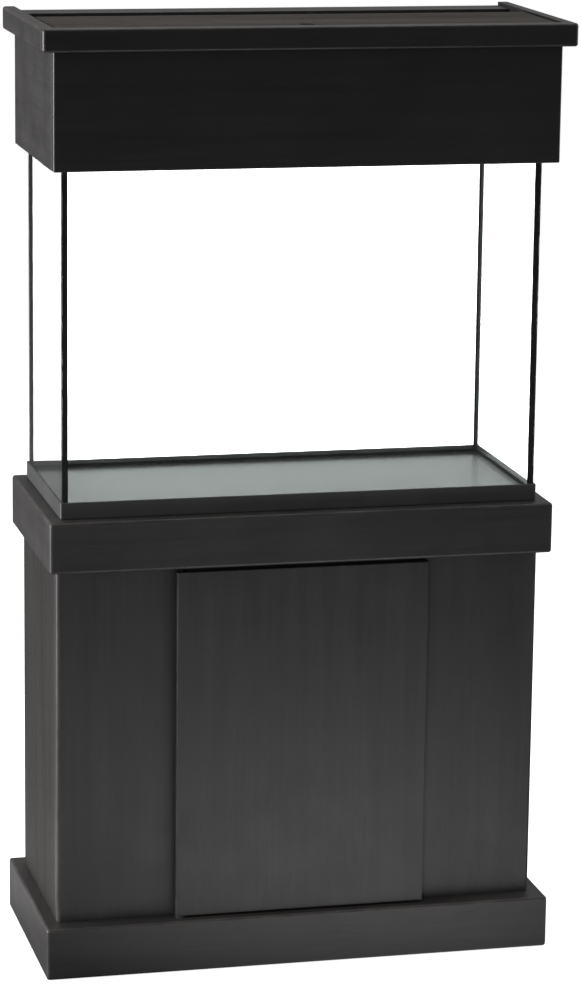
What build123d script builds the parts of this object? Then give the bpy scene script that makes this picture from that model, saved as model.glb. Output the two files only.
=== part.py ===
from build123d import *

import os

# Aquarium on stand: a glass tank with plastic frames, standing on a stained wooden cabinet,
# under a lift-off wooden hood with a hinged lid.
# Millimetres. X is to the right, Y to the back, Z up. The origin is on the floor, under the
# middle of the whole outline.

# ---------------------------------------------------------------- driving dimensions

# Stock that the joiner cuts from
board = 19.0  # dressed one-inch board
thick_board = 38.0  # dressed two-inch board
thin_board = 12.0  # plywood
round_over = 5.0  # router radius on the outer edges of the frames
panel_round_over = 6.0  # on the outer edges of the fixed front panels
eased_edge = 2.0  # sanded edge of the door and the back of the cabinet

# Fits
rest_gap = 0.3  # air between pieces that rest on each other but come apart
pin_clearance = 0.05  # radial, pin in bush

# Cabinet
cabinet_width = 780.0
cabinet_depth = 308.0
cabinet_front = -142.0
opening_width = 380.0
front_rail_height = 40.0
back_rail_height = 89.0

# Base frame under the cabinet
base_height = 84.0
base_side_overhang = 22.0
base_front_overhang = 36.0
base_back_overhang = 30.0
corner_block_leg = 50.0
corner_block_height = 60.0

# Top frame that carries the tank
top_frame_bottom = 659.0
top_frame_height = 81.0
top_side_overhang = 15.0
top_front_overhang = 31.0
top_back_overhang = 24.0

# Door, which laps over the opening on every side
door_width = 407.0
door_offset = 2.0
door_thickness = 18.0
door_back_gap = 2.0
door_bottom_gap = 3.0
door_top_gap = 8.0
pivot_inset = 9.0

# Tank
tank_width = 768.0
tank_depth = 318.0
tank_height = 578.0
tank_front = cabinet_front - 5.0
glass = 6.0
frame_height = 26.0
frame_wall = 3.5
seam = 1.0  # silicone between two panes
bead = 4.0  # leg of the silicone bead in an inner corner
bottom_frame_edge = 15.5  # from the outside of the bottom frame to the edge of its window
top_frame_edge = 24.0  # the same for the top frame
frame_skirt = 3.0  # the inner wall of the bottom frame
frame_foot = 7.0  # height of the hollow under the bottom frame's web
frame_web = 4.0
top_web_depth = 6.0  # from the top of the tank to the glass
top_lip = 8.5  # width of the ledge round the inside of the top frame
mat_gap = 1.0  # between the foam mat and the window of the bottom frame
mat_thickness = 4.5

# Hood
hood_width = 798.0
hood_front = cabinet_front - 35.0
hood_back = cabinet_front + 322.0
hood_bottom = 1284.0
hood_shoulder = 1484.0  # top edge of the hood's boards, which carries the lid
cap_bottom = 1466.0
cap_top = 1502.0

# Lid and the fixed strip behind it
lid_depth = 191.5
lid_thickness = 16.0
lid_side_gap = 5.0
lid_front_gap = 2.5
strip_depth = 62.0
finger_hole_radius = 12.5
finger_hole_inset = 31.0
front_cleat_depth = 25.0
cross_rail_height = 40.0

# Door pivots: a steel pin at each end, turning in a nylon bush let into the door
pin_radius = 4.0
pin_depth_in_board = 20.0
pin_depth_in_door = 18.0
bush_radius = 6.0
washer_radius = 8.5
pin_end_gap = 1.0

# Rubber domes that the door closes on
bumper_radius = 5.0
bumper_from_opening = 7.5
bumper_from_door_end = 60.0

# Push latch under the top rail, by the free edge of the door
latch_x = 165.0
latch_z = 611.0
housing_half_width = 10.0
housing_length = 60.0
housing_setback = 2.0
ear_width = 8.0
ear_length = 17.0
ear_thickness = 4.0
strike_width = 32.0
strike_height = 14.0
strike_thickness = 1.0
strike_screw_step = 11.0
plunger_radius = 4.5
plunger_travel = 3.0
plunger_length = 37.5
plunger_setback = 0.5  # air between the plunger and the strike plate
magnet_radius = 3.4
magnet_depth = 4.0
spring_radius = 3.2
spring_wire_radius = 0.4
spring_turns = 5
spring_room = 12.0  # what the spring shrinks to when the plunger is pressed

# Butt hinges between the lid and the rail under its back edge
hinge_length = 50.0
hinge_places = (-260.0, 260.0)
leaf_thickness = 1.2
barrel_radius = 2.6
hinge_pin_radius = 1.2
rail_leaf_height = 20.0
lid_leaf_height = 13.0
knuckle_count = 5
knuckle_gap = 0.15  # each side of the joint between two knuckles
hinge_screw_step = 15.0
hinge_setback = 3.0  # from the back edge of the lid to the pin

# ---------------------------------------------------------------- places worked out from them

half_cabinet = cabinet_width / 2
half_inside = half_cabinet - board
half_opening = opening_width / 2
cabinet_back = cabinet_front + cabinet_depth
carcass_front = cabinet_front + board
stand_height = top_frame_bottom + top_frame_height

door_left = door_offset - door_width / 2
door_right = door_offset + door_width / 2
door_back = cabinet_front - door_back_gap
door_front = door_back - door_thickness
door_bottom = base_height + door_bottom_gap
door_top = top_frame_bottom - door_top_gap
pivot_x = door_left + pivot_inset
pivot_y = door_back - pivot_inset

half_tank = tank_width / 2
tank_back = tank_front + tank_depth
tank_bottom = stand_height + rest_gap
tank_top = tank_bottom + tank_height

half_hood = hood_width / 2
half_hood_inside = half_hood - thin_board
cap_front = hood_front - board
half_cap = half_hood + board
lid_front = hood_front + lid_front_gap
lid_back = lid_front + lid_depth
lid_bottom = hood_shoulder + rest_gap
half_lid = half_hood - lid_side_gap
strip_front = hood_back - strip_depth
hinge_y = lid_back + hinge_setback
hinge_z = hood_shoulder + rest_gap / 2

rail_underside = top_frame_bottom - front_rail_height
housing_front = cabinet_front + housing_setback
housing_back = housing_front + housing_length


# ---------------------------------------------------------------- shapes used throughout


def block(x0, x1, y0, y1, z0, z1):
    """A box between two corners."""
    middle = Pos((x0 + x1) / 2, (y0 + y1) / 2, (z0 + z1) / 2)
    return middle * Box(abs(x1 - x0), abs(y1 - y0), abs(z1 - z0))


def rod(radius, start, end):
    """A round bar from one point to another, along any axis."""
    line = Vector(*end) - Vector(*start)
    plane = Plane(origin=start, z_dir=line)
    return extrude(plane * Circle(radius), amount=line.length)


def mirrored(shape):
    """The same piece on the other side of the middle."""
    return mirror(shape, about=Plane.YZ)


def rounded_frame(half_width, y0, y1, z0, z1, radius):
    """A box with its four upright corners and its top and bottom outlines rounded over."""
    body = block(-half_width, half_width, y0, y1, z0, z1)
    body = fillet(body.edges().filter_by(Axis.Z), radius)
    outline = body.edges().group_by(Axis.Z)[-1] + body.edges().group_by(Axis.Z)[0]
    return fillet(outline, radius - 0.5)


def screw_hole(head_radius, shank_radius, length, at, direction):
    """The countersunk hole for a wood screw, from a point on the surface inwards."""
    along = Vector(*direction).normalized()
    plane = Plane(origin=at, z_dir=along)
    head_depth = head_radius - shank_radius
    head = extrude(plane * Circle(head_radius), amount=head_depth, taper=45)
    shank = extrude(plane.offset(head_depth) * Circle(shank_radius), amount=length - head_depth)
    return head + shank


def countersunk_screw(head_radius, shank_radius, length, at, direction):
    """A wood screw that fills such a hole. Its flat head has a cross in it."""
    plane = Plane(origin=at, z_dir=Vector(*direction).normalized())
    cross_length = head_radius * 1.1
    cross_width = head_radius * 0.2
    cross_depth = (head_radius - shank_radius) * 0.6
    cross = Rectangle(cross_length, cross_width) + Rectangle(cross_width, cross_length)
    whole = screw_hole(head_radius, shank_radius, length, at, direction)
    return whole - extrude(plane * cross, amount=cross_depth)


def sum_of(shapes):
    """All the shapes as one, to cut with."""
    total = None
    for one in shapes:
        total = one if total is None else total + one
    return total


# ---------------------------------------------------------------- stand


def pivot_rod(radius, z0, z1):
    """A round bar on the door's pivot line."""
    return rod(radius, (pivot_x, pivot_y, z0), (pivot_x, pivot_y, z1))


def base_frame():
    """Four thick boards on edge. The front and back boards run the full width."""
    half_width = half_cabinet + base_side_overhang
    y0 = cabinet_front - base_front_overhang
    y1 = cabinet_back + base_back_overhang
    inner_x = half_width - thick_board
    inner_y0 = y0 + thick_board
    inner_y1 = y1 - thick_board
    ring = rounded_frame(half_width, y0, y1, 0, base_height, round_over)
    ring -= block(-inner_x, inner_x, inner_y0, inner_y1, 0, base_height)
    pin_socket = pivot_rod(pin_radius, base_height - pin_depth_in_board, base_height)
    right = ring & block(inner_x, half_width, inner_y0, inner_y1, 0, base_height)
    block_bottom = base_height - corner_block_height
    corner = Polyline((0, 0), (corner_block_leg, 0), (0, corner_block_leg), close=True)
    prism = extrude(make_face(corner), amount=corner_block_height)
    front_left = Pos(-inner_x, inner_y0, block_bottom) * prism
    back_left = Pos(-inner_x, inner_y1, block_bottom) * mirror(prism, about=Plane.XZ)
    blocks = [front_left, back_left, mirrored(front_left), mirrored(back_left)]
    front = ring & block(-half_width, half_width, y0, inner_y0, 0, base_height)
    return {
        "base_front_board": front - pin_socket,
        "base_back_board": ring & block(-half_width, half_width, inner_y1, y1, 0, base_height),
        "base_right_board": right,
        "base_left_board": mirrored(right),
        "base_corner_blocks": blocks,
    }


def cabinet_carcass():
    """Sides, floor, the fixed front panels and the rails round the door opening and the back."""
    side = block(half_inside, half_cabinet, carcass_front, cabinet_back, base_height, top_frame_bottom)
    outer_back_edge = side.edges().filter_by(Axis.Z).group_by(Axis.Y)[-1].sort_by(Axis.X)[-1]
    side = fillet(outer_back_edge, eased_edge)
    panel = block(half_opening, half_cabinet, cabinet_front, carcass_front, base_height, top_frame_bottom)
    outer_front_edge = panel.edges().filter_by(Axis.Z).group_by(Axis.Y)[0].sort_by(Axis.X)[-1]
    panel = fillet(outer_front_edge, panel_round_over)
    floor_top = base_height + board
    back_y = cabinet_back - board
    latch_holes = sum_of(screw_hole(*latch_screw) for latch_screw in latch_screws())
    return {
        "cabinet_right_side": side,
        "cabinet_left_side": mirrored(side),
        "cabinet_floor": block(
            -half_inside, half_inside, carcass_front, cabinet_back, base_height, floor_top
        ),
        "front_right_panel": panel,
        "front_left_panel": mirrored(panel),
        "front_top_rail": block(
            -half_opening, half_opening, cabinet_front, carcass_front,
            rail_underside, top_frame_bottom,
        ) - latch_holes,
        "front_bottom_rail": block(
            -half_opening, half_opening, cabinet_front, carcass_front,
            base_height, base_height + front_rail_height / 2,
        ),
        "back_top_rail": block(
            -half_inside, half_inside, back_y, cabinet_back,
            top_frame_bottom - back_rail_height, top_frame_bottom,
        ),
        "back_bottom_rail": block(
            -half_inside, half_inside, back_y, cabinet_back,
            floor_top, floor_top + back_rail_height,
        ),
    }


def top_frame():
    """Four thick boards on edge round a deck, which lies on cleats, flush with their tops."""
    half_width = half_cabinet + top_side_overhang
    y0 = cabinet_front - top_front_overhang
    y1 = cabinet_back + top_back_overhang
    inner_x = half_width - thick_board
    inner_y0 = y0 + thick_board
    inner_y1 = y1 - thick_board
    z0 = top_frame_bottom
    z1 = stand_height
    ring = rounded_frame(half_width, y0, y1, z0, z1, round_over)
    ring -= block(-inner_x, inner_x, inner_y0, inner_y1, z0, z1)
    pin_socket = pivot_rod(pin_radius, z0, z0 + pin_depth_in_board)
    right = ring & block(inner_x, half_width, inner_y0, inner_y1, z0, z1)
    deck_bottom = z1 - thin_board
    cleat_bottom = deck_bottom - board
    right_cleat = block(inner_x - board, inner_x, inner_y0, inner_y1, cleat_bottom, deck_bottom)
    cleat_end = inner_x - board
    front_cleat = block(-cleat_end, cleat_end, inner_y0, inner_y0 + board, cleat_bottom, deck_bottom)
    back_cleat = block(-cleat_end, cleat_end, inner_y1 - board, inner_y1, cleat_bottom, deck_bottom)
    front = ring & block(-half_width, half_width, y0, inner_y0, z0, z1)
    return {
        "top_front_board": front - pin_socket,
        "top_back_board": ring & block(-half_width, half_width, inner_y1, y1, z0, z1),
        "top_right_board": right,
        "top_left_board": mirrored(right),
        "top_deck": block(-inner_x, inner_x, inner_y0, inner_y1, deck_bottom, z1),
        "deck_cleats": [right_cleat, mirrored(right_cleat), front_cleat, back_cleat],
    }


# ---------------------------------------------------------------- door and its pivots


def door_and_pivots():
    """A plain slab that turns on two steel pins, one in the base board and one in the top board."""
    slab = block(door_left, door_right, door_front, door_back, door_bottom, door_top)
    uprights = slab.edges().filter_by(Axis.Z)
    hinge_back = uprights.group_by(Axis.X)[0].sort_by(Axis.Y)[-1]
    slab = fillet(hinge_back, pivot_inset - 0.1)
    front_edges = slab.edges().group_by(Axis.Y)[0]
    slab = fillet(front_edges, eased_edge)
    low_end = door_bottom + pin_depth_in_door
    high_end = door_top - pin_depth_in_door
    washer_top = door_bottom - rest_gap
    low_bore = pivot_rod(bush_radius, door_bottom, low_end)
    high_bore = pivot_rod(bush_radius, high_end, door_top)
    pin_hole = pivot_rod(pin_radius + pin_clearance, door_bottom, door_top)
    lower_pin = pivot_rod(pin_radius, base_height - pin_depth_in_board, low_end - pin_end_gap)
    upper_pin = pivot_rod(pin_radius, high_end + pin_end_gap, top_frame_bottom + pin_depth_in_board)
    washer = pivot_rod(washer_radius, base_height, washer_top)
    washer -= pivot_rod(pin_radius, base_height, washer_top)
    plate_face = door_back + strike_thickness
    plate_screw = (3.0, 1.5, 12.0)
    plate_screws = [
        (*plate_screw, (latch_x + side * strike_screw_step, plate_face, latch_z), (0, -1, 0))
        for side in (-1, 1)
    ]
    holes = sum_of(screw_hole(*one) for one in plate_screws)
    plate = block(
        latch_x - strike_width / 2, latch_x + strike_width / 2, door_back, plate_face,
        latch_z - strike_height / 2, latch_z + strike_height / 2,
    )
    plate = fillet(plate.edges().filter_by(Axis.Y), 3.0)
    return {
        "door_panel": slab - low_bore - high_bore - holes,
        "door_pivot_bushes": [low_bore - pin_hole, high_bore - pin_hole],
        "door_pivot_pins": [lower_pin, upper_pin],
        "door_pivot_washer": washer,
        "strike_plate": plate - holes,
        "strike_plate_screws": [countersunk_screw(*one) for one in plate_screws],
    }


def door_bumpers():
    """Two clear rubber domes on the right front panel, which the free edge of the door closes on."""
    height = door_back_gap - rest_gap
    x = half_opening + bumper_from_opening
    domes = []
    for z in (door_bottom + bumper_from_door_end, door_top - bumper_from_door_end):
        dome = rod(bumper_radius, (x, cabinet_front, z), (x, cabinet_front - height, z))
        domes.append(fillet(dome.edges().group_by(Axis.Y)[0], height * 0.8))
    return {"door_bumpers": domes}


# ---------------------------------------------------------------- push latch


def latch_screws():
    """Two screws up through the housing's ears into the rail."""
    step = housing_half_width + ear_width / 2
    y = housing_front + ear_length / 2
    z = rail_underside - ear_thickness
    return [(3.0, 1.5, 14.0, (latch_x + side * step, y, z), (0, 0, 1)) for side in (-1, 1)]


def push_latch():
    """A plastic housing under the top rail, holding a sprung plunger with a magnet in its tip."""
    housing_bottom = 2 * latch_z - rail_underside
    body = block(
        latch_x - housing_half_width, latch_x + housing_half_width, housing_front, housing_back,
        housing_bottom, rail_underside,
    )
    body = fillet(body.edges().filter_by(Axis.Y).group_by(Axis.Z)[0], 2.0)
    ear_end = housing_half_width + ear_width
    ears = block(
        latch_x - ear_end, latch_x + ear_end, housing_front, housing_front + ear_length,
        rail_underside - ear_thickness, rail_underside,
    )
    ears = fillet(ears.edges().filter_by(Axis.Z), 2.0)
    tip_y = door_back + strike_thickness + plunger_setback
    plunger_back = tip_y + plunger_length
    bore_back = plunger_back + plunger_travel + spring_room
    bore_start = (latch_x, housing_front, latch_z)
    bore = rod(plunger_radius + pin_clearance, bore_start, (latch_x, bore_back, latch_z))
    holes = sum_of(screw_hole(*one) for one in latch_screws())
    magnet = rod(magnet_radius, (latch_x, tip_y, latch_z), (latch_x, tip_y + magnet_depth, latch_z))
    plunger = rod(plunger_radius, (latch_x, tip_y, latch_z), (latch_x, plunger_back, latch_z))
    plunger = chamfer(plunger.edges().group_by(Axis.Y)[0], 0.6)
    spring_front = plunger_back + plunger_travel + rest_gap
    coil_height = bore_back - spring_front - 2 * spring_wire_radius
    coil = Helix(pitch=coil_height / spring_turns, height=coil_height, radius=spring_radius)
    wire = sweep(Plane(origin=coil @ 0, z_dir=coil % 0) * Circle(spring_wire_radius), path=coil)
    spring = Pos(latch_x, spring_front + spring_wire_radius, latch_z) * Rot(-90, 0, 0) * wire
    return {
        "latch_housing": body + ears - bore - holes,
        "latch_housing_screws": [countersunk_screw(*one) for one in latch_screws()],
        "latch_spring": spring,
        "latch_plunger": plunger - magnet,
        "latch_magnet": magnet,
    }


# ---------------------------------------------------------------- tank


def tank_frame(z0, web_bottom, web_top, z1, inner_edge, pocket):
    """A moulded plastic frame. A flat web carries the glass, and pocket is the side that holds it."""
    wall_x = half_tank - frame_wall
    y0 = tank_front + frame_wall
    y1 = tank_back - frame_wall
    hole_x = half_tank - inner_edge
    hole_y0 = tank_front + inner_edge
    hole_y1 = tank_back - inner_edge
    body = block(-half_tank, half_tank, tank_front, tank_back, z0, z1)
    body = fillet(body.edges().filter_by(Axis.Z), 3.0)
    body = fillet(body.edges().group_by(Axis.Z)[-1] + body.edges().group_by(Axis.Z)[0], 1.0)
    body -= block(-hole_x, hole_x, hole_y0, hole_y1, z0, z1)
    glass_side = (web_top, z1) if pocket == "up" else (z0, web_bottom)
    open_side = (z0, web_bottom) if pocket == "up" else (web_top, z1)
    body -= block(-wall_x, wall_x, y0, y1, *glass_side)
    lip = 0.0 if pocket == "up" else top_lip
    channel = block(-wall_x + lip, wall_x - lip, y0 + lip, y1 - lip, *open_side)
    core_x = hole_x + frame_skirt
    core = block(-core_x, core_x, hole_y0 - frame_skirt, hole_y1 + frame_skirt, *open_side)
    if pocket == "up":
        channel -= core
    return body - channel


def levelling_mat():
    """A pale foam sheet on the deck, cut to fit loosely inside the window of the bottom frame."""
    margin = bottom_frame_edge + mat_gap
    return block(
        margin - half_tank, half_tank - margin, tank_front + margin, tank_back - margin,
        stand_height, stand_height + mat_thickness,
    )


def tank_parts():
    """Five panes, their silicone, and a frame round each end."""
    half_x = half_tank - frame_wall
    y0 = tank_front + frame_wall
    y1 = tank_back - frame_wall
    z0 = tank_bottom + frame_foot + frame_web
    z1 = tank_top - top_web_depth
    floor_top = z0 + glass
    front = block(-half_x, half_x, y0, y0 + glass, z0, z1)
    back = block(-half_x, half_x, y1 - glass, y1, z0, z1)
    side_x = half_x - glass
    in_y0 = y0 + glass
    in_y1 = y1 - glass
    right = block(side_x, half_x, in_y0 + seam, in_y1 - seam, z0, z1)
    bottom = block(-side_x + seam, side_x - seam, in_y0 + seam, in_y1 - seam, z0, floor_top)

    front_section = Polyline(
        (half_x, in_y0), (half_x, in_y0 + seam), (side_x, in_y0 + seam),
        (side_x, in_y0 + bead), (side_x - bead, in_y0), close=True,
    )
    back_section = Polyline(
        (half_x, in_y1), (half_x, in_y1 - seam), (side_x, in_y1 - seam),
        (side_x, in_y1 - bead), (side_x - bead, in_y1), close=True,
    )
    front_seam = Pos(0, 0, floor_top) * extrude(make_face(front_section), amount=z1 - floor_top)
    front_seam += block(side_x, half_x, in_y0, in_y0 + seam, z0, floor_top)
    back_seam = Pos(0, 0, floor_top) * extrude(make_face(back_section), amount=z1 - floor_top)
    back_seam += block(side_x, half_x, in_y1 - seam, in_y1, z0, floor_top)
    corner_seams = [front_seam, back_seam, mirrored(front_seam), mirrored(back_seam)]

    joint = block(-side_x, side_x, in_y0, in_y1, z0, floor_top) - bottom
    middle_y = (in_y0 + in_y1) / 2
    bead_foot = Pos(0, middle_y, floor_top) * Rectangle(2 * (side_x - bead), in_y1 - in_y0 - 2 * bead)
    bead_ring = block(-side_x, side_x, in_y0, in_y1, floor_top, floor_top + bead)
    bead_ring -= extrude(bead_foot, amount=bead, taper=-45)
    floor_seam = joint + bead_ring
    for one in corner_seams:
        floor_seam -= one
    return {
        "front_glass": front,
        "back_glass": back,
        "right_glass": right,
        "left_glass": mirrored(right),
        "bottom_glass": bottom,
        "corner_silicone": corner_seams,
        "floor_silicone": floor_seam,
        "tank_bottom_frame": tank_frame(
            tank_bottom, tank_bottom + frame_foot, z0, tank_bottom + frame_height, bottom_frame_edge, "up"
        ),
        "tank_top_frame": tank_frame(
            tank_top - frame_height, z1, tank_top - 3.0, tank_top, top_frame_edge, "down"
        ),
        "levelling_mat": levelling_mat(),
    }


# ---------------------------------------------------------------- hood


def hood_boards():
    """A box with no floor. Its front board covers the ends of the side boards."""
    front_inner = hood_front + board
    front = block(-half_hood, half_hood, hood_front, front_inner, hood_bottom, hood_shoulder)
    front = fillet(front.edges().filter_by(Axis.Z).group_by(Axis.Y)[0], 3.0)
    front = fillet(front.edges().group_by(Axis.Z)[0].sort_by(Axis.Y)[0], 2.0)
    right = block(half_hood_inside, half_hood, front_inner, hood_back, hood_bottom, hood_shoulder)
    cleat_bottom = tank_top + rest_gap
    cleat_top = cleat_bottom + board
    side_cleat = block(
        half_hood_inside - board, half_hood_inside, front_inner, hood_back, cleat_bottom, cleat_top
    )
    cross_rail = block(
        -half_hood_inside, half_hood_inside, lid_back - board, lid_back,
        hood_shoulder - cross_rail_height, hood_shoulder,
    )
    cleat_end = half_hood_inside - board
    return {
        "hood_front_board": front,
        "hood_right_board": right,
        "hood_left_board": mirrored(right),
        "hood_back_rail": block(
            -half_hood_inside, half_hood_inside, hood_back - board, hood_back,
            hood_shoulder - back_rail_height, hood_shoulder,
        ),
        "hood_cross_rail": cross_rail - sum_of(screw_hole(*one) for one in hinge_screws("rail")),
        "hood_rear_strip": block(
            -half_hood, half_hood, strip_front, hood_back, hood_shoulder, hood_shoulder + thin_board
        ),
        "hood_side_cleats": [side_cleat, mirrored(side_cleat)],
        "hood_front_cleat": block(
            -cleat_end, cleat_end, front_inner, front_inner + front_cleat_depth, cleat_bottom, cleat_top
        ),
    }


def hood_cap():
    """Three boards round the top of the hood, rounded over, which hide the edges of the lid."""
    far_back = hood_back + 3 * round_over
    ring = rounded_frame(half_cap, cap_front, far_back, cap_bottom, cap_top, round_over)
    ring -= block(-half_hood, half_hood, hood_front, far_back, cap_bottom, cap_top)
    right = ring & block(half_hood, half_cap, hood_front, hood_back, cap_bottom, cap_top)
    return {
        "cap_front_board": ring & block(-half_cap, half_cap, cap_front, hood_front, cap_bottom, cap_top),
        "cap_right_board": right,
        "cap_left_board": mirrored(right),
    }


# ---------------------------------------------------------------- lid and its hinges


def hinge_screws(side):
    """Where the screws of both hinges go, into the rail below or the lid above."""
    z = hood_shoulder - 11.0 if side == "rail" else lid_bottom + lid_thickness / 2
    outer_face = lid_back + leaf_thickness
    return [
        (2.6, 1.3, 13.0, (x + step, outer_face, z), (0, -1, 0))
        for x in hinge_places
        for step in (-hinge_screw_step, hinge_screw_step)
    ]


def hinge_leaf(x, side):
    """One leaf of a butt hinge: a plate with every second knuckle rolled on its edge."""
    x0 = x - hinge_length / 2
    step = hinge_length / knuckle_count
    own = (0, 2, 4) if side == "rail" else (1, 3)
    z_far = hinge_z - rail_leaf_height if side == "rail" else hinge_z + lid_leaf_height
    plate = block(x0, x0 + hinge_length, lid_back, lid_back + leaf_thickness, hinge_z, z_far)
    knuckles = []
    for index in range(knuckle_count):
        start = x0 + index * step
        end = start + step
        if index in own:
            first = start + (knuckle_gap if index > 0 else 0.0)
            last = end - (knuckle_gap if index < knuckle_count - 1 else 0.0)
            knuckles.append(rod(barrel_radius, (first, hinge_y, hinge_z), (last, hinge_y, hinge_z)))
        else:
            room = barrel_radius + 0.4
            first = start - (knuckle_gap if index > 0 else 1.0)
            last = end + (knuckle_gap if index < knuckle_count - 1 else 1.0)
            plate -= rod(room, (first, hinge_y, hinge_z), (last, hinge_y, hinge_z))
            edge = hinge_z - 1.0 if side == "rail" else hinge_z + 1.0
            plate -= block(first, last, lid_back - 1, lid_back + leaf_thickness + 1, hinge_z, edge)
    leaf = plate
    for one in knuckles:
        leaf += one
    bore = hinge_pin_radius + (0.0 if side == "rail" else pin_clearance)
    return leaf - rod(bore, (x0 - 1, hinge_y, hinge_z), (x0 + hinge_length + 1, hinge_y, hinge_z))


def lid_and_hinges():
    """A panel between the cap boards, lifted by a finger hole, on two butt hinges at its back edge."""
    lid_top = lid_bottom + lid_thickness
    panel = block(-half_lid, half_lid, lid_front, lid_back, lid_bottom, lid_top)
    panel = fillet(panel.edges().group_by(Axis.Z)[-1], 1.5)
    hole_y = lid_front + finger_hole_inset
    hole = rod(finger_hole_radius, (0, hole_y, lid_bottom), (0, hole_y, lid_top))
    panel -= hole
    circles = panel.edges().filter_by(GeomType.CIRCLE)
    rims = circles.filter_by(lambda edge: abs(edge.radius - finger_hole_radius) < 0.01)
    panel = fillet(rims, 1.5)
    lid_holes = sum_of(screw_hole(*one) for one in hinge_screws("lid"))
    rail_holes = sum_of(screw_hole(*one) for one in hinge_screws("rail"))
    pins = [
        Pos(x, hinge_y, hinge_z) * Rot(0, 90, 0) * Cylinder(hinge_pin_radius, hinge_length)
        for x in hinge_places
    ]
    return {
        "lid_panel": panel - lid_holes,
        "lid_hinge_leaves": [hinge_leaf(x, "lid") - lid_holes for x in hinge_places],
        "lid_hinge_screws": [countersunk_screw(*one) for one in hinge_screws("lid")],
        "rail_hinge_leaves": [hinge_leaf(x, "rail") - rail_holes for x in hinge_places],
        "rail_hinge_screws": [countersunk_screw(*one) for one in hinge_screws("rail")],
        "lid_hinge_pins": pins,
    }


# ---------------------------------------------------------------- build and write


def separate_solids(shape):
    """The solids of a piece, or of a group of like pieces."""
    group = shape if isinstance(shape, list) else [shape]
    return [solid for one in group for solid in one.solids()]


sections = (
    base_frame,
    cabinet_carcass,
    top_frame,
    door_and_pivots,
    door_bumpers,
    push_latch,
    tank_parts,
    hood_boards,
    hood_cap,
    lid_and_hinges,
)

for section in sections:
    for name, shape in section().items():
        solids = separate_solids(shape)
        piece = solids[0] if len(solids) == 1 else Compound(children=solids)
        piece.label = name
        export_step(piece, "parts/" + name + ".step")
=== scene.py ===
import math

import bmesh
import bpy
from mathutils import Matrix, Vector, noise


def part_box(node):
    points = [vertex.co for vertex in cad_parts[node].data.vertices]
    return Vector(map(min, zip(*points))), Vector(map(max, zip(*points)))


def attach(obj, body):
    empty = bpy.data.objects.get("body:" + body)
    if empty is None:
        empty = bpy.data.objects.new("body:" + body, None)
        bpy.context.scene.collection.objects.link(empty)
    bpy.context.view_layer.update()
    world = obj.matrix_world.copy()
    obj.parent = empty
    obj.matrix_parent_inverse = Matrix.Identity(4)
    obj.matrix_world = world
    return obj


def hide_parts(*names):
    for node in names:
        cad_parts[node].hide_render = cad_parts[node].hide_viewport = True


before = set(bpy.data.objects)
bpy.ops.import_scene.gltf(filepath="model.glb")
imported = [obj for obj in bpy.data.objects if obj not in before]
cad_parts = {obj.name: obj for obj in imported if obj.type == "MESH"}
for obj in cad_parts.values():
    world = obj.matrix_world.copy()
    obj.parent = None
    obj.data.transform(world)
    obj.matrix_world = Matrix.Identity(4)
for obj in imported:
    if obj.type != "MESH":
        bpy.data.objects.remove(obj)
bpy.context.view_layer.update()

# ------------------------------------------------------------------------------------------------
# Base frame. Four boards of two-inch softwood on edge, glued round the foot of the cabinet, with
# their outer edges rounded over by a router. Everything is stained black after sanding, so the
# stain is thin where the sander cut through to paler wood. The paler colour laid on the eased
# edges stands partly for that wear and partly for a painted highlight along them.
# Three-cornered blocks brace the inside.


def wire(tree, source, target):
    """Joins an output socket to an input socket."""
    tree.links.new(source, target)


def put(tree, kind, **settings):
    """Adds a node and gives its properties their values."""
    node = tree.nodes.new(kind)
    for name, value in settings.items():
        setattr(node, name, value)
    return node


def new_group(name, inputs, outputs):
    """A shader node group with named sockets. An input is (kind, name, value); an output (kind, name)."""
    group = bpy.data.node_groups.new(name, "ShaderNodeTree")
    for kind, label, value in inputs:
        socket = group.interface.new_socket(label, in_out="INPUT", socket_type=kind)
        if value is not None:
            socket.default_value = value
    for kind, label in outputs:
        group.interface.new_socket(label, in_out="OUTPUT", socket_type=kind)
    entry = group.nodes.new("NodeGroupInput")
    leave = group.nodes.new("NodeGroupOutput")
    return group, entry, leave


def use_group(tree, group, **values):
    """Places a node group in a material, with this material's own values."""
    node = put(tree, "ShaderNodeGroup", node_tree=group)
    for label, value in values.items():
        node.inputs[label.replace("_", " ")].default_value = value
    return node


def ranged(tree, source, low, high, to_low=0.0, to_high=1.0):
    """Stretches the part of a value between low and high onto another range."""
    node = put(tree, "ShaderNodeMapRange")
    node.inputs["From Min"].default_value = low
    node.inputs["From Max"].default_value = high
    node.inputs["To Min"].default_value = to_low
    node.inputs["To Max"].default_value = to_high
    wire(tree, source, node.inputs["Value"])
    return node.outputs["Result"]


def maths(tree, operation, first, second):
    """A sum on two values. Each is a socket or a number."""
    node = put(tree, "ShaderNodeMath", operation=operation)
    for place, value in enumerate((first, second)):
        if isinstance(value, (int, float)):
            node.inputs[place].default_value = value
        else:
            wire(tree, value, node.inputs[place])
    return node.outputs[0]


def blended(tree, share, under, over):
    """One colour laid over another. Each is a socket or a red, green and blue."""
    node = put(tree, "ShaderNodeMix", data_type="RGBA")
    wire(tree, share, node.inputs["Factor"])
    for label, colour in (("A", under), ("B", over)):
        socket = [s for s in node.inputs if s.name == label and s.type == "RGBA"][0]
        if isinstance(colour, tuple):
            socket.default_value = (*colour, 1.0)
        else:
            wire(tree, colour, socket)
    return [s for s in node.outputs if s.type == "RGBA"][0]


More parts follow.
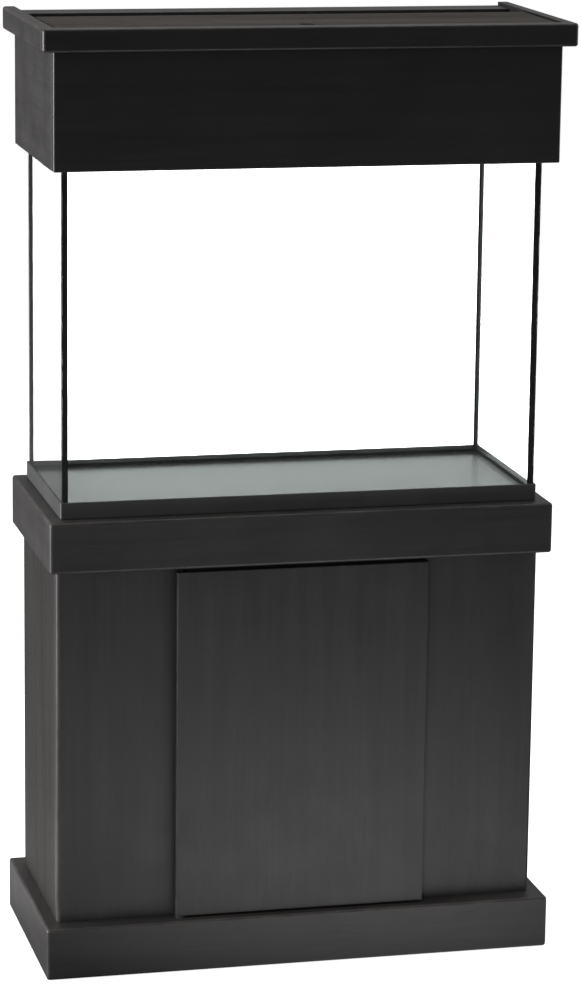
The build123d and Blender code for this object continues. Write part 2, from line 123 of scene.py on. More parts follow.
def speckle(tree, vector, scale, detail=4.0, roughness=0.55, stretch=None):
    """Noise of a given size, in marks to the metre, which can be drawn out along an axis."""
    if stretch is not None:
        mapping = put(tree, "ShaderNodeMapping")
        mapping.inputs["Scale"].default_value = stretch
        wire(tree, vector, mapping.inputs["Vector"])
        vector = mapping.outputs["Vector"]
    node = put(tree, "ShaderNodeTexNoise")
    node.inputs["Scale"].default_value = scale
    node.inputs["Detail"].default_value = detail
    node.inputs["Roughness"].default_value = roughness
    wire(tree, vector, node.inputs["Vector"])
    return node.outputs["Fac"]


def open_grain_group():
    """Grain of a board that runs along X: a figure of broad streaks, fine pores, and their relief."""
    group, entry, leave = new_group(
        "open grain",
        [("NodeSocketVector", "Along Grain", None), ("NodeSocketFloat", "Pore Amount", 1.0)],
        [("NodeSocketFloat", "Figure"), ("NodeSocketFloat", "Pores"), ("NodeSocketFloat", "Relief")],
    )
    along = entry.outputs["Along Grain"]
    bend = speckle(group, along, 1.6, detail=2.0)
    shift = put(group, "ShaderNodeVectorMath", operation="MULTIPLY_ADD")
    shift.inputs[1].default_value = (0.0, 0.012, 0.012)
    wire(group, bend, shift.inputs[0])
    wire(group, along, shift.inputs[2])
    bent = shift.outputs["Vector"]
    broad = speckle(group, bent, 1.0, detail=3.0, stretch=(1.5, 34.0, 34.0))
    streaks = speckle(group, bent, 1.0, detail=5.0, roughness=0.65, stretch=(4.0, 190.0, 190.0))
    dashes = speckle(group, bent, 1.0, detail=2.0, stretch=(38.0, 1150.0, 1150.0))
    half_broad = maths(group, "MULTIPLY", broad, 0.5)
    half_streaks = maths(group, "MULTIPLY", streaks, 0.5)
    figure = maths(group, "ADD", half_broad, half_streaks)
    in_streak = ranged(group, streaks, 0.42, 0.6)
    deep = ranged(group, dashes, 0.57, 0.66)
    dashes_in_streaks = maths(group, "MULTIPLY", deep, in_streak)
    pores = maths(group, "MULTIPLY", dashes_in_streaks, entry.outputs["Pore Amount"])
    relief = maths(group, "SUBTRACT", half_streaks, pores)
    wire(group, ranged(group, figure, 0.36, 0.64), leave.inputs["Figure"])
    wire(group, pores, leave.inputs["Pores"])
    wire(group, relief, leave.inputs["Relief"])
    return group


def abraded_and_highlit_edge_group():
    """Patches along the eased edges of a piece: wear from hands and sandpaper, and a painted highlight.
    """
    group, entry, leave = new_group(
        "abraded and highlit edge",
        [("NodeSocketVector", "Place", None), ("NodeSocketFloat", "Amount", 0.5)],
        [("NodeSocketFloat", "Abrasion And Highlight")],
    )
    edge = put(group, "ShaderNodeAttribute", attribute_name="eased", attribute_type="GEOMETRY")
    patches = ranged(group, speckle(group, entry.outputs["Place"], 26.0, detail=5.0), 0.4, 0.68)
    edge_abrasion_and_highlight = maths(group, "MULTIPLY", edge.outputs["Fac"], patches)
    wire(group, maths(group, "MULTIPLY", edge_abrasion_and_highlight, entry.outputs["Amount"]), leave.inputs["Abrasion And Highlight"])
    return group


def settled_dust_group():
    """Fine dust, which lies only on what faces up, in loose patches."""
    group, entry, leave = new_group(
        "settled dust",
        [("NodeSocketVector", "Place", None), ("NodeSocketFloat", "Amount", 0.2)],
        [("NodeSocketFloat", "Dust")],
    )
    facing = put(group, "ShaderNodeNewGeometry")
    parts = put(group, "ShaderNodeSeparateXYZ")
    wire(group, facing.outputs["Normal"], parts.inputs["Vector"])
    upward = ranged(group, parts.outputs["Z"], 0.55, 0.98)
    place = entry.outputs["Place"]
    patches = ranged(group, speckle(group, place, 9.0, detail=8.0, roughness=0.7), 0.3, 0.75)
    specks = ranged(group, speckle(group, place, 950.0, detail=2.0), 0.5, 0.72)
    layer = maths(group, "MULTIPLY", upward, maths(group, "ADD", patches, specks))
    wire(group, maths(group, "MULTIPLY", layer, entry.outputs["Amount"]), leave.inputs["Dust"])
    return group


open_grain = open_grain_group()
abraded_and_highlit_edge = abraded_and_highlit_edge_group()
settled_dust = settled_dust_group()

grain_turn = {
    "X": (0.0, 0.0, 0.0),
    "Y": (0.0, 0.0, -math.pi / 2),
    "Z": (0.0, math.pi / 2, 0.0),
}

dust_colour = (0.30, 0.29, 0.27)


def stained_wood(
    name, direction, stain, streak, pore, bare_timber_and_highlight, sheen, gloss=0.36, pores=0.5, edge_abrasion_and_highlight=0.3, dust=0.06
):
    """Black stain over open grain. The grain of the piece runs along direction."""
    material = bpy.data.materials.new(name)
    material.use_nodes = True
    tree = material.node_tree
    shader = tree.nodes["Principled BSDF"]
    place = put(tree, "ShaderNodeTexCoord").outputs["Object"]
    turn = put(tree, "ShaderNodeMapping")
    turn.inputs["Rotation"].default_value = grain_turn[direction]
    wire(tree, place, turn.inputs["Vector"])
    grain = use_group(tree, open_grain, Pore_Amount=pores)
    wire(tree, turn.outputs["Vector"], grain.inputs["Along Grain"])
    abrasion_and_highlight = use_group(tree, abraded_and_highlit_edge, Amount=edge_abrasion_and_highlight)
    wire(tree, place, abrasion_and_highlight.inputs["Place"])
    powder = use_group(tree, settled_dust, Amount=dust)
    wire(tree, place, powder.inputs["Place"])

    tone = blended(tree, grain.outputs["Figure"], stain, streak)
    tone = blended(tree, grain.outputs["Pores"], tone, pore)
    # The paler colour on the eased edges is partly wear and partly a painted highlight.
    tone = blended(tree, abrasion_and_highlight.outputs["Abrasion And Highlight"], tone, bare_timber_and_highlight)
    tone = blended(tree, powder.outputs["Dust"], tone, dust_colour)
    wire(tree, tone, shader.inputs["Base Color"])

    cloudy = ranged(tree, speckle(tree, place, 14.0, detail=3.0), 0.3, 0.7, sheen - 0.05, sheen + 0.06)
    rough = maths(tree, "ADD", cloudy, maths(tree, "MULTIPLY", grain.outputs["Pores"], 0.25))
    rough = maths(tree, "ADD", rough, maths(tree, "MULTIPLY", powder.outputs["Dust"], 0.8))
    wire(tree, rough, shader.inputs["Roughness"])
    shader.inputs["Specular IOR Level"].default_value = gloss

    bump = put(tree, "ShaderNodeBump")
    bump.inputs["Strength"].default_value = 0.35
    bump.inputs["Distance"].default_value = 0.0004
    wire(tree, grain.outputs["Relief"], bump.inputs["Height"])
    wire(tree, bump.outputs["Normal"], shader.inputs["Normal"])
    return material


satin_stain = {
    direction: stained_wood(
        "satin black stain, grain along " + direction,
        direction,
        stain=(0.0145, 0.0135, 0.0138),
        streak=(0.025, 0.0225, 0.022),
        pore=(0.006, 0.005, 0.005),
        bare_timber_and_highlight=(0.085, 0.070, 0.060),
        sheen=0.43,
        gloss=0.46,
    )
    for direction in grain_turn
}
matt_stain = {
    direction: stained_wood(
        "thin matt stain, grain along " + direction,
        direction,
        stain=(0.020, 0.018, 0.017),
        streak=(0.048, 0.040, 0.034),
        pore=(0.008, 0.007, 0.006),
        bare_timber_and_highlight=(0.16, 0.115, 0.08),
        sheen=0.62,
        dust=0.1,
    )
    for direction in grain_turn
}


sharp_angle = math.radians(35)  # an edge that turns by more than this is eased
crease_angle = math.radians(50)  # one that turns by more than this stays crisp in the shading
flat_angle = math.radians(0.5)  # faces that turn by less than this become one
weld_distance = 0.000002
square_to_axis = 0.9995  # the largest part of a face's normal, from which it counts as square


def ease_edges(work, amount, steps):
    """Cuts a small round on every sharp edge, and marks each face that isn't square to an axis."""
    sharp = [
        edge for edge in work.edges
        if len(edge.link_faces) == 2 and edge.calc_face_angle() > sharp_angle
    ]
    bmesh.ops.bevel(
        work, geom=sharp, offset=amount, segments=steps, profile=0.5, affect="EDGES", clamp_overlap=True
    )
    work.normal_update()
    mark = work.faces.layers.float.new("eased")
    for face in work.faces:
        square = max(abs(part) for part in face.normal)
        face[mark] = 0.0 if square > square_to_axis else 1.0
        face.smooth = True


def finish_piece(work, name, body, material, stands_for=()):
    """Turns the worked mesh into a piece that rides on a body."""
    mesh = bpy.data.meshes.new(name)
    work.to_mesh(mesh)
    work.free()
    mesh.set_sharp_from_angle(angle=crease_angle)
    piece = bpy.data.objects.new(name, mesh)
    bpy.context.scene.collection.objects.link(piece)
    mesh.materials.append(material)
    piece.modifiers.new("keep flats flat", "WEIGHTED_NORMAL").keep_sharp = True
    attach(piece, body)
    if stands_for:
        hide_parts(*stands_for)
    return piece


def worked_copy(node, body, material, ease, steps=2):
    """A piece with the CAD node's shape and its sharp edges eased, which stands for the node."""
    work = bmesh.new()
    work.from_mesh(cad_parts[node].data)
    bmesh.ops.remove_doubles(work, verts=work.verts, dist=weld_distance)
    bmesh.ops.dissolve_limit(work, angle_limit=flat_angle, verts=work.verts, edges=work.edges)
    ease_edges(work, ease, steps)
    return finish_piece(work, node + ".worked", body, material, [node])


board_ease = 0.0007

for node, direction in (
    ("base_front_board", "X"),
    ("base_back_board", "X"),
    ("base_left_board", "Y"),
    ("base_right_board", "Y"),
):
    worked_copy(node, "stand", satin_stain[direction], board_ease)
worked_copy("base_corner_blocks", "stand", matt_stain["Z"], board_ease)

# ------------------------------------------------------------------------------------------------
# Cabinet. One-inch boards, glued and pinned: two sides, a floor, two wide fixed panels at the
# front, and rails above and below the door and across the open back. What shows is satin, and
# the inside has one thin matt coat.

side_stain = stained_wood(
    "drier stain of the cabinet's sides",
    "Z",
    stain=(0.009, 0.0084, 0.0082),
    streak=(0.024, 0.0215, 0.020),
    pore=(0.006, 0.005, 0.005),
    bare_timber_and_highlight=(0.085, 0.070, 0.060),
    sheen=0.56,
    gloss=0.20,
    pores=0.9,
)
for node in ("cabinet_left_side", "cabinet_right_side"):
    worked_copy(node, "stand", side_stain, board_ease)
for node in ("front_left_panel", "front_right_panel"):
    worked_copy(node, "stand", satin_stain["Z"], board_ease)
for node in (
    "cabinet_floor",
    "front_top_rail",
    "front_bottom_rail",
    "back_top_rail",
    "back_bottom_rail",
):
    worked_copy(node, "stand", matt_stain["X"], board_ease)

# ------------------------------------------------------------------------------------------------
# Top frame. Four more two-inch boards on edge, rounded over, wider than the tank. A plywood deck
# lies inside them on cleats, flush with their tops, and carries the tank.

for node, direction in (
    ("top_front_board", "X"),
    ("top_back_board", "X"),
    ("top_left_board", "Y"),
    ("top_right_board", "Y"),
):
    worked_copy(node, "stand", satin_stain[direction], board_ease)
for node in ("top_deck", "deck_cleats"):
    worked_copy(node, "stand", matt_stain["X"], board_ease / 2)

# ------------------------------------------------------------------------------------------------
# Door. One flat slab with no handle, standing proud of the panels. It turns on two blackened steel
# pins in black nylon bushes that are pressed into its ends, on a nylon washer, and closes on two
# soft domes.

worked_copy("door_panel", "door", satin_stain["Z"], board_ease)


def fine_texture_group():
    """The fine even texture of a moulded, cast or plated surface, with slow drifts in it."""
    group, entry, leave = new_group(
        "fine texture",
        [("NodeSocketVector", "Place", None), ("NodeSocketFloat", "Marks", 1500.0)],
        [("NodeSocketFloat", "Drift"), ("NodeSocketFloat", "Height")],
    )
    drift = ranged(group, speckle(group, entry.outputs["Place"], 22.0, detail=3.0), 0.3, 0.7)
    fine = put(group, "ShaderNodeTexNoise")
    fine.inputs["Detail"].default_value = 2.0
    wire(group, entry.outputs["Place"], fine.inputs["Vector"])
    wire(group, entry.outputs["Marks"], fine.inputs["Scale"])
    wire(group, drift, leave.inputs["Drift"])
    wire(group, fine.outputs["Fac"], leave.inputs["Height"])
    return group


def scuffs_group():
    """Fine scratches, drawn out along X and broken up."""
    group, entry, leave = new_group(
        "scuffs",
        [("NodeSocketVector", "Place", None), ("NodeSocketFloat", "Amount", 0.5)],
        [("NodeSocketFloat", "Scratches")],
    )
    lines = speckle(group, entry.outputs["Place"], 1.0, detail=3.0, stretch=(60.0, 2600.0, 2600.0))
    broken = ranged(group, speckle(group, entry.outputs["Place"], 60.0, detail=2.0), 0.45, 0.6)
    scratches = maths(group, "MULTIPLY", ranged(group, lines, 0.6, 0.7), broken)
    wire(group, maths(group, "MULTIPLY", scratches, entry.outputs["Amount"]), leave.inputs["Scratches"])
    return group


fine_texture = fine_texture_group()
scuffs = scuffs_group()


def plain_finish(
    name, colour, drifted, roughness, marks, depth,
    metal=0.0, edge_abrasion_and_highlight=0.0, abraded_and_highlight_colour=(0.5, 0.5, 0.5), dust=0.0, gloss=0.5,
):
    """Moulded plastic, rubber or plated metal: one colour that drifts a little, and a fine texture."""
    material = bpy.data.materials.new(name)
    material.use_nodes = True
    tree = material.node_tree
    shader = tree.nodes["Principled BSDF"]
    place = put(tree, "ShaderNodeTexCoord").outputs["Object"]
    texture = use_group(tree, fine_texture, Marks=marks)
    wire(tree, place, texture.inputs["Place"])
    scratched = use_group(tree, scuffs, Amount=0.35)
    wire(tree, place, scratched.inputs["Place"])
    abrasion_and_highlight = use_group(tree, abraded_and_highlit_edge, Amount=edge_abrasion_and_highlight)
    wire(tree, place, abrasion_and_highlight.inputs["Place"])
    powder = use_group(tree, settled_dust, Amount=dust)
    wire(tree, place, powder.inputs["Place"])

    tone = blended(tree, texture.outputs["Drift"], colour, drifted)
    # The paler colour on the eased edges is partly wear and partly a painted highlight.
    tone = blended(tree, abrasion_and_highlight.outputs["Abrasion And Highlight"], tone, abraded_and_highlight_colour)
    tone = blended(tree, powder.outputs["Dust"], tone, dust_colour)
    wire(tree, tone, shader.inputs["Base Color"])

    rough = ranged(tree, texture.outputs["Drift"], 0.0, 1.0, roughness - 0.04, roughness + 0.05)
    rough = maths(tree, "ADD", rough, maths(tree, "MULTIPLY", scratched.outputs["Scratches"], 0.4))
    wire(tree, rough, shader.inputs["Roughness"])
    shader.inputs["Metallic"].default_value = metal
    shader.inputs["Specular IOR Level"].default_value = gloss

    bump = put(tree, "ShaderNodeBump")
    bump.inputs["Strength"].default_value = 0.3
    bump.inputs["Distance"].default_value = depth
    wire(tree, texture.outputs["Height"], bump.inputs["Height"])
    wire(tree, bump.outputs["Normal"], shader.inputs["Normal"])
    return material


def dress(material, *nodes):
    """Gives CAD nodes whose shape is already right their finished material."""
    for node in nodes:
        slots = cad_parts[node].data.materials
        slots.clear()
        slots.append(material)


black_oxide = plain_finish(
    "blackened steel", (0.012, 0.012, 0.012), (0.020, 0.019, 0.018), roughness=0.55, marks=900.0,
    depth=0.00005, metal=1.0,
)
bush_nylon = plain_finish(
    "black nylon", (0.020, 0.020, 0.021), (0.028, 0.028, 0.029), roughness=0.45, marks=1400.0,
    depth=0.00005,
)
clear_rubber = plain_finish(
    "soft grey rubber", (0.42, 0.42, 0.41), (0.34, 0.34, 0.33), roughness=0.42, marks=1100.0,
    depth=0.00005,
)
dress(black_oxide, "door_pivot_pins", "strike_plate")
dress(bush_nylon, "door_pivot_bushes", "door_pivot_washer")
dress(clear_rubber, "door_bumpers")

# ------------------------------------------------------------------------------------------------
# Push latch. A moulded housing screwed up under the top rail, with a sprung plunger in it. The
# magnet in the plunger's tip holds the door by the small plated plate that is screwed to its back.

black_nylon = plain_finish(
    "black moulded housing", (0.030, 0.030, 0.031), (0.045, 0.045, 0.046), roughness=0.5, marks=1300.0,
    depth=0.00008, edge_abrasion_and_highlight=0.3, abraded_and_highlight_colour=(0.12, 0.12, 0.12), dust=0.08,
)
grey_nylon = plain_finish(
    "grey moulded plunger", (0.24, 0.24, 0.245), (0.30, 0.30, 0.30), roughness=0.42, marks=1300.0,
    depth=0.00006,
)
ferrite = plain_finish(
    "sintered magnet", (0.045, 0.045, 0.05), (0.075, 0.075, 0.08), roughness=0.6, marks=2200.0,
    depth=0.00012,
)
spring_wire = plain_finish(
    "drawn spring wire", (0.50, 0.49, 0.47), (0.38, 0.37, 0.36), roughness=0.28, marks=1600.0,
    depth=0.00004, metal=1.0,
)
screw_zinc = plain_finish(
    "zinc plated screws", (0.50, 0.50, 0.51), (0.36, 0.35, 0.33), roughness=0.4, marks=1800.0,
    depth=0.00008, metal=1.0,
)
worked_copy("latch_housing", "stand", black_nylon, 0.0004)
dress(grey_nylon, "latch_plunger")
dress(ferrite, "latch_magnet")
dress(spring_wire, "latch_spring")
dress(screw_zinc, "latch_housing_screws", "strike_plate_screws")

# ------------------------------------------------------------------------------------------------
# Tank frames. Two injection-moulded rings in black plastic. The lower one lifts the glass off the
# deck; the upper one, inside the hood, has a ledge for a cover.

frame_plastic = plain_finish(
    "satin black frame plastic", (0.032, 0.032, 0.0325), (0.040, 0.040, 0.0405), roughness=0.52,
    marks=1700.0, depth=0.00006, edge_abrasion_and_highlight=0.25, abraded_and_highlight_colour=(0.07, 0.07, 0.07), dust=0.05,
)
for node in ("tank_bottom_frame", "tank_top_frame"):
    worked_copy(node, "tank", frame_plastic, 0.0003)

# ------------------------------------------------------------------------------------------------
# Levelling mat. A loose sheet of pale closed-cell foam, cut with a knife to lie on the deck inside
# the lower ring. It shows through the clear floor pane.

mat_edge = 0.0005


def pale_foam_sheet():
    """Pale foam with fine closed cells, shallow dents and a little grime in them."""
    material = bpy.data.materials.new("pale closed-cell foam")
    material.use_nodes = True
    tree = material.node_tree
    shader = tree.nodes["Principled BSDF"]
    place = put(tree, "ShaderNodeTexCoord").outputs["Object"]
    cells = use_group(tree, fine_texture, Marks=700.0)
    wire(tree, place, cells.inputs["Place"])
    grime = ranged(tree, speckle(tree, place, 7.0, detail=6.0), 0.5, 0.8, 0.0, 0.25)
    tone = blended(tree, cells.outputs["Drift"], (0.72, 0.725, 0.715), (0.67, 0.675, 0.665))
    tone = blended(tree, grime, tone, (0.54, 0.54, 0.52))
    wire(tree, tone, shader.inputs["Base Color"])
    rough = ranged(tree, cells.outputs["Drift"], 0.0, 1.0, 0.72, 0.85)
    wire(tree, rough, shader.inputs["Roughness"])
    bump = put(tree, "ShaderNodeBump")
    bump.inputs["Strength"].default_value = 0.4
    bump.inputs["Distance"].default_value = 0.0003
    wire(tree, cells.outputs["Height"], bump.inputs["Height"])
    wire(tree, bump.outputs["Normal"], shader.inputs["Normal"])
    return material


worked_copy("levelling_mat", "stand", pale_foam_sheet(), mat_edge)

# ------------------------------------------------------------------------------------------------
# Panes. Five sheets of 6 mm float glass with arrised edges. They are held a hair short of the
# frames and the silicone, so that no two faces lie in one plane.

pane_clearance = 0.00006
arris = 0.0006


def float_glass(name, haze):
    """Clear glass with a trace of iron in it, and a film of dried water and dust on its faces."""
    material = bpy.data.materials.new(name)
    material.use_nodes = True
    tree = material.node_tree
    shader = tree.nodes["Principled BSDF"]
    shader.inputs["Transmission Weight"].default_value = 1.0
    shader.inputs["IOR"].default_value = 1.52
    shader.inputs["Metallic"].default_value = 0.0
    place = put(tree, "ShaderNodeTexCoord").outputs["Object"]
    clouds = ranged(tree, speckle(tree, place, 3.0, detail=2.0), 0.3, 0.7)
    tint = blended(tree, clouds, (0.985, 0.997, 0.992), (0.98, 0.995, 0.99))
    wire(tree, tint, shader.inputs["Base Color"])
    abrasion_and_highlight = use_group(tree, abraded_and_highlit_edge, Amount=0.5)
    wire(tree, place, abrasion_and_highlight.inputs["Place"])
    film = ranged(tree, speckle(tree, place, 40.0, detail=6.0), 0.55, 0.8, haze, haze + 0.012)
    wire(tree, maths(tree, "ADD", film, abrasion_and_highlight.outputs["Abrasion And Highlight"]), shader.inputs["Roughness"])
    bump = put(tree, "ShaderNodeBump")
    bump.inputs["Strength"].default_value = 0.02
    bump.inputs["Distance"].default_value = 0.0002
    wire(tree, speckle(tree, place, 5.0, detail=1.0), bump.inputs["Height"])
    wire(tree, bump.outputs["Normal"], shader.inputs["Normal"])
    clear = put(tree, "ShaderNodeBsdfTransparent")
    clear.inputs["Color"].default_value = (0.90, 0.93, 0.92, 1.0)
    path = put(tree, "ShaderNodeLightPath")
    choose = put(tree, "ShaderNodeMixShader")
    wire(tree, path.outputs["Is Shadow Ray"], choose.inputs["Fac"])
    wire(tree, shader.outputs["BSDF"], choose.inputs[1])
    wire(tree, clear.outputs["BSDF"], choose.inputs[2])
    wire(tree, choose.outputs["Shader"], tree.nodes["Material Output"].inputs["Surface"])
    return material


clear_glass = float_glass("float glass", haze=0.0)
hazed_glass = float_glass("float glass of the floor", haze=0.2)

for node in ("bottom_glass", "front_glass", "back_glass", "left_glass", "right_glass"):
    low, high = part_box(node)
    clearance = Vector((pane_clearance,) * 3)
    low += clearance
    high -= clearance
    work = bmesh.new()
    bmesh.ops.create_cube(work, size=1.0)
    for vertex in work.verts:
        share = vertex.co + Vector((0.5, 0.5, 0.5))
        vertex.co = Vector(a + (b - a) * s for a, b, s in zip(low, high, share))
    ease_edges(work, arris, 1)
    glass = hazed_glass if node == "bottom_glass" else clear_glass
    finish_piece(work, node + ".arrised", "tank", glass, [node])

# ------------------------------------------------------------------------------------------------
# Silicone. Black sealant squeezed between the panes and drawn off with a fingertip, which leaves a
# hollow bead in each inner corner whose edge wanders a little.

front_bead_leg = 0.0036
back_bead_leg = 0.0062
bead_steps = 7
corner_bead_rings = 48
floor_bead_rings = 24  # along each side
wander = 0.00035
bite = 0.00005  # the sealant wets the glass, so it reaches a hair into it and no air is left between

black_silicone = plain_finish(
    "black silicone", (0.003, 0.003, 0.003), (0.007, 0.007, 0.007), roughness=0.55, marks=420.0,
    depth=0.0002, gloss=0.12,
)


def hollow_curve(leg):
    """The drawn-off face of a bead, from one pane to the other, as (along one leg, along the other)."""
    points = []
    for step in range(bead_steps + 1):
        angle = math.pi / 2 * step / bead_steps
        points.append((leg * (1 - math.sin(angle)), leg * (1 - math.cos(angle))))
    return points


def skin_rings(work, rings, closed):
    """Faces between rings of vertices that follow each other, and flat ends if they don't close up."""
    count = len(rings[0])
    turns = len(rings) if closed else len(rings) - 1
    for index in range(turns):
        first = rings[index]
        second = rings[(index + 1) % len(rings)]
        for corner in range(count):
            following = (corner + 1) % count
            work.faces.new((first[corner], first[following], second[following], second[corner]))
    if not closed:
        work.faces.new(reversed(rings[0]))
        work.faces.new(rings[-1])
    for face in work.faces:
        face.smooth = True


def corner_bead(work, side, facing, z0, z1):
    """One upright seam. side is -1 left or 1 right, facing is -1 front or 1 back."""
    low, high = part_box("right_glass")
    outer = side * high.x
    inner = side * low.x
    pane_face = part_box("front_glass")[1].y if facing < 0 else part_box("back_glass")[0].y
    pane_end = low.y if facing < 0 else high.y
    reach = pane_clearance + bite
    rings = []
    for step in range(corner_bead_rings + 1):
        z = z0 + (z1 - z0) * step / corner_bead_rings
        leg = wander * noise.noise(Vector((side * 3.0, facing * 5.0, z * 31.0)))
        leg += front_bead_leg if facing < 0 else back_bead_leg
        outline = [
            (outer - side * reach, pane_face + facing * reach),
            (outer - side * reach, pane_end - facing * reach),
            (inner + side * reach, pane_end - facing * reach),
        ]
        for along, out in hollow_curve(leg + reach):
            outline.append((inner + side * (reach - out), pane_face + facing * (reach - along)))
        rings.append([work.verts.new((x, y, z)) for x, y in outline])
    skin_rings(work, rings, closed=False)


floor_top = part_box("bottom_glass")[1].z
seam_low, seam_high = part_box("corner_silicone")
work = bmesh.new()
for side in (-1, 1):
    for facing in (-1, 1):
        corner_bead(work, side, facing, seam_low.z, seam_high.z)
bmesh.ops.recalc_face_normals(work, faces=work.faces)
finish_piece(work, "corner_silicone.drawn", "tank", black_silicone, ["corner_silicone"])


def floor_bead(work):
    """The seam round the floor pane: it fills the joint and has a hollow face above the pane."""
    low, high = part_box("floor_silicone")
    reach = pane_clearance + bite
    middle = (low + high) / 2
    half_x = (high.x - low.x) / 2 + reach
    half_y = (high.y - low.y) / 2 + reach
    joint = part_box("bottom_glass")[0].x - low.x + 2 * reach
    rings = []
    corners = ((-1, -1), (1, -1), (1, 1), (-1, 1))
    for index, corner in enumerate(corners):
        following = corners[(index + 1) % 4]
        for step in range(floor_bead_rings):
            across = [a + (b - a) * step / floor_bead_rings for a, b in zip(corner, following)]
            leg = front_bead_leg + wander * noise.noise(Vector((across[0] * 9.0, across[1] * 9.0, 2.0)))
            foot = floor_top - reach
            section = [(0.0, low.z), (joint, low.z), (joint, foot)]
            for inward, upward in hollow_curve(leg + reach):
                section.append((inward, foot + upward))
            ring = []
            for inward, z in section:
                x = middle.x + across[0] * (half_x - inward)
                y = middle.y + across[1] * (half_y - inward)
                ring.append(work.verts.new((x, y, z)))
            rings.append(ring)
    skin_rings(work, rings, closed=True)


work = bmesh.new()
floor_bead(work)
bmesh.ops.recalc_face_normals(work, faces=work.faces)
finish_piece(work, "floor_silicone.drawn", "tank", black_silicone, ["floor_silicone"])

# ------------------------------------------------------------------------------------------------
# Hood. A box of boards with no floor, which hangs over the top of the tank on cleats. The thick
# front board covers the ends of the plywood sides. A strip closes the top at the back.

for node, direction in (
    ("hood_front_board", "X"),
    ("hood_left_board", "Y"),
    ("hood_right_board", "Y"),
    ("hood_rear_strip", "X"),
):
    worked_copy(node, "hood", satin_stain[direction], board_ease)
for node, direction in (
    ("hood_back_rail", "X"),
    ("hood_cross_rail", "X"),
    ("hood_side_cleats", "Y"),
    ("hood_front_cleat", "X"),
):
    worked_copy(node, "hood", matt_stain[direction], board_ease)

# ------------------------------------------------------------------------------------------------
# Cap. Three boards with rounded edges round the top of the hood. They stand above its boards, so
# the lid lies between them.

for node, direction in (("cap_front_board", "X"), ("cap_left_board", "Y"), ("cap_right_board", "Y")):
    worked_copy(node, "hood", satin_stain[direction], board_ease)

# ------------------------------------------------------------------------------------------------
# Lid. A plywood panel with a finger hole, on two nickel-plated butt hinges that are screwed to its
# back edge and to the rail below.

nickel_plate = plain_finish(
    "nickel plated steel", (0.52, 0.50, 0.46), (0.42, 0.40, 0.37), roughness=0.3, marks=1200.0,
    depth=0.00005, metal=1.0,
)
dull_stain = stained_wood(
    "dull stain of the lid",
    "X",
    stain=(0.012, 0.010, 0.009),
    streak=(0.075, 0.064, 0.055),
    pore=(0.006, 0.005, 0.005),
    bare_timber_and_highlight=(0.085, 0.070, 0.060),
    sheen=0.64,
    gloss=0.10,
    pores=1.0,
    dust=0.03,
)
worked_copy("lid_panel", "lid", dull_stain, board_ease)
dress(nickel_plate, "lid_hinge_leaves", "rail_hinge_leaves", "lid_hinge_pins")
dress(screw_zinc, "lid_hinge_screws", "rail_hinge_screws")

# ------------------------------------------------------------------------------------------------
# Studio. A pale floor with two pools of light on it, soft boxes at the left, above and at the right,
# a gridded strip low at the front left, a lit surround, and one long-lens camera at standing
# height, to the left.

floor_half = 60.0
floor_drop = 0.0005  # below the object, so that the two never touch
floor_for_light = (0.15, 0.15, 0.15)
floor_for_the_eye = (0.84, 0.84, 0.84)
floor_mesh = bpy.data.meshes.new("studio_floor")
floor_corners = [(x * floor_half, y * floor_half, 0.0) for x, y in ((-1, -1), (1, -1), (1, 1), (-1, 1))]
floor_mesh.from_pydata(floor_corners, [], [(0, 1, 2, 3)])
floor = bpy.data.objects.new("studio_floor", floor_mesh)
floor.location.z = -floor_drop
bpy.context.scene.collection.objects.link(floor)


def seen_brightness(tree, straight, through_glass):
    """How bright the surround looks, straight and through clear glass: 0 for light and reflections."""
    path = put(tree, "ShaderNodeLightPath")
    direct = maths(tree, "MULTIPLY", path.outputs["Is Camera Ray"], straight)
    through = maths(tree, "MULTIPLY", path.outputs["Is Transmission Ray"], through_glass)
    bounces = maths(tree, "ADD", path.outputs["Glossy Depth"], path.outputs["Diffuse Depth"])
    unbounced = maths(tree, "LESS_THAN", bounces, 0.5)
    return maths(tree, "MULTIPLY", maths(tree, "MAXIMUM", direct, through), unbounced)


pale = bpy.data.materials.new("pale floor")
pale.use_nodes = True
pale_tree = pale.node_tree
pale_shader = pale_tree.nodes["Principled BSDF"]
to_eye = put(pale_tree, "ShaderNodeLightPath").outputs["Is Camera Ray"]
tone = blended(pale_tree, to_eye, floor_for_light, floor_for_the_eye)
wire(pale_tree, tone, pale_shader.inputs["Base Color"])
floor_place = put(pale_tree, "ShaderNodeTexCoord").outputs["Object"]


def pool_of_light(middle, inner, outer, strength):
    """A lit patch of the floor, which fades out between two distances from its middle."""
    distance = put(pale_tree, "ShaderNodeVectorMath", operation="DISTANCE")
    distance.inputs[1].default_value = (*middle, 0.0)
    wire(pale_tree, floor_place, distance.inputs[0])
    return ranged(pale_tree, distance.outputs["Value"], inner, outer, strength, 0.0)


front_pool = pool_of_light((0.2, -0.8), inner=0.15, outer=0.8, strength=2.2)
left_pool = pool_of_light((-0.8, 0.35), inner=0.1, outer=0.45, strength=1.0)
bounce = maths(pale_tree, "MAXIMUM", front_pool, left_pool)
floor_seen = seen_brightness(pale_tree, straight=0.8, through_glass=3.6)
glow = maths(pale_tree, "MAXIMUM", bounce, floor_seen)
wire(pale_tree, glow, pale_shader.inputs["Emission Strength"])
pale_shader.inputs["Emission Color"].default_value = (1.0, 1.0, 1.0, 1.0)
pale_shader.inputs["Roughness"].default_value = 0.9
pale_shader.inputs["Specular IOR Level"].default_value = 0.1
floor_mesh.materials.append(pale)

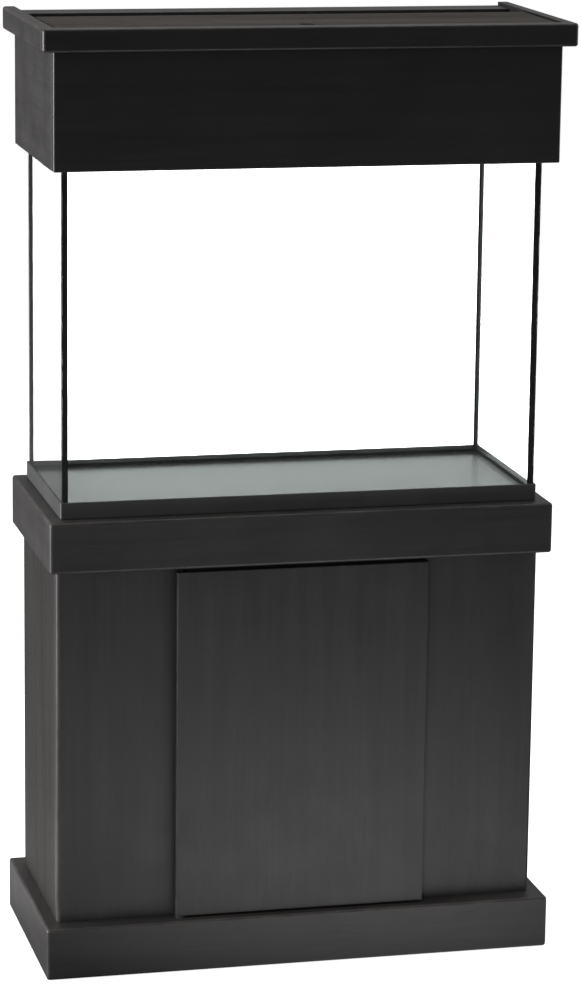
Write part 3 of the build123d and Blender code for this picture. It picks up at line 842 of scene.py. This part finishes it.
world = bpy.data.worlds.new("studio room")
bpy.context.scene.world = world
world.use_nodes = True
room = world.node_tree
surround = room.nodes["Background"]
facing = put(room, "ShaderNodeSeparateXYZ")
wire(room, put(room, "ShaderNodeTexCoord").outputs["Generated"], facing.inputs["Vector"])
front_to_back = ranged(room, facing.outputs["Y"], -0.35, 0.75, to_low=0.20, to_high=0.30)
backdrop = seen_brightness(room, straight=1.25, through_glass=3.7)
wire(room, maths(room, "MAXIMUM", backdrop, front_to_back), surround.inputs["Strength"])
surround.inputs["Color"].default_value = (1.0, 1.0, 1.0, 1.0)


def soft_light(name, place, aim, width, height, watts, spread=180.0):
    """A flat soft box that shines from a place to a point. A grid keeps its light within the spread."""
    data = bpy.data.lights.new(name, "AREA")
    data.shape = "RECTANGLE"
    data.size = width
    data.size_y = height
    data.energy = watts
    data.spread = math.radians(spread)
    lamp = bpy.data.objects.new(name, data)
    bpy.context.scene.collection.objects.link(lamp)
    lamp.location = place
    lamp.rotation_euler = (Vector(aim) - Vector(place)).to_track_quat("-Z", "Y").to_euler()


soft_light("left_soft_box", (-4.6, 0.5, 1.0), (0.0, 0.0, 0.4), width=2.4, height=2.0, watts=380.0)
soft_light("top_soft_box", (0.0, 0.3, 4.6), (0.0, 0.0, 0.6), width=3.0, height=3.0, watts=75.0)
soft_light("right_fill", (4.8, 0.4, 2.0), (0.0, 0.0, 0.8), width=2.5, height=2.5, watts=110.0)
soft_light(
    "front_left_strip", (-1.75, -3.9, 0.6), (0.2, -0.1, -0.5), width=0.3, height=0.9, watts=4.5,
    spread=50.0,
)

camera_place = Vector((-1.3442, -5.6264, 2.0331))
camera_aim = Vector((0.0206, 0.0111, 0.7315))
camera_roll = math.radians(0.704)
camera_lens = 134.56

camera_data = bpy.data.cameras.new("camera")
camera_data.lens = camera_lens
camera_data.sensor_width = 36.0
camera_data.clip_start = 0.1
camera_data.clip_end = 200.0
camera = bpy.data.objects.new("camera", camera_data)
bpy.context.scene.collection.objects.link(camera)
upright = (camera_aim - camera_place).to_track_quat("-Z", "Y").to_matrix()
tilted = upright @ Matrix.Rotation(camera_roll, 3, "Z")
camera.matrix_world = Matrix.Translation(camera_place) @ tilted.to_4x4()
bpy.context.scene.camera = camera
bpy.context.scene.view_settings.view_transform = "Standard"
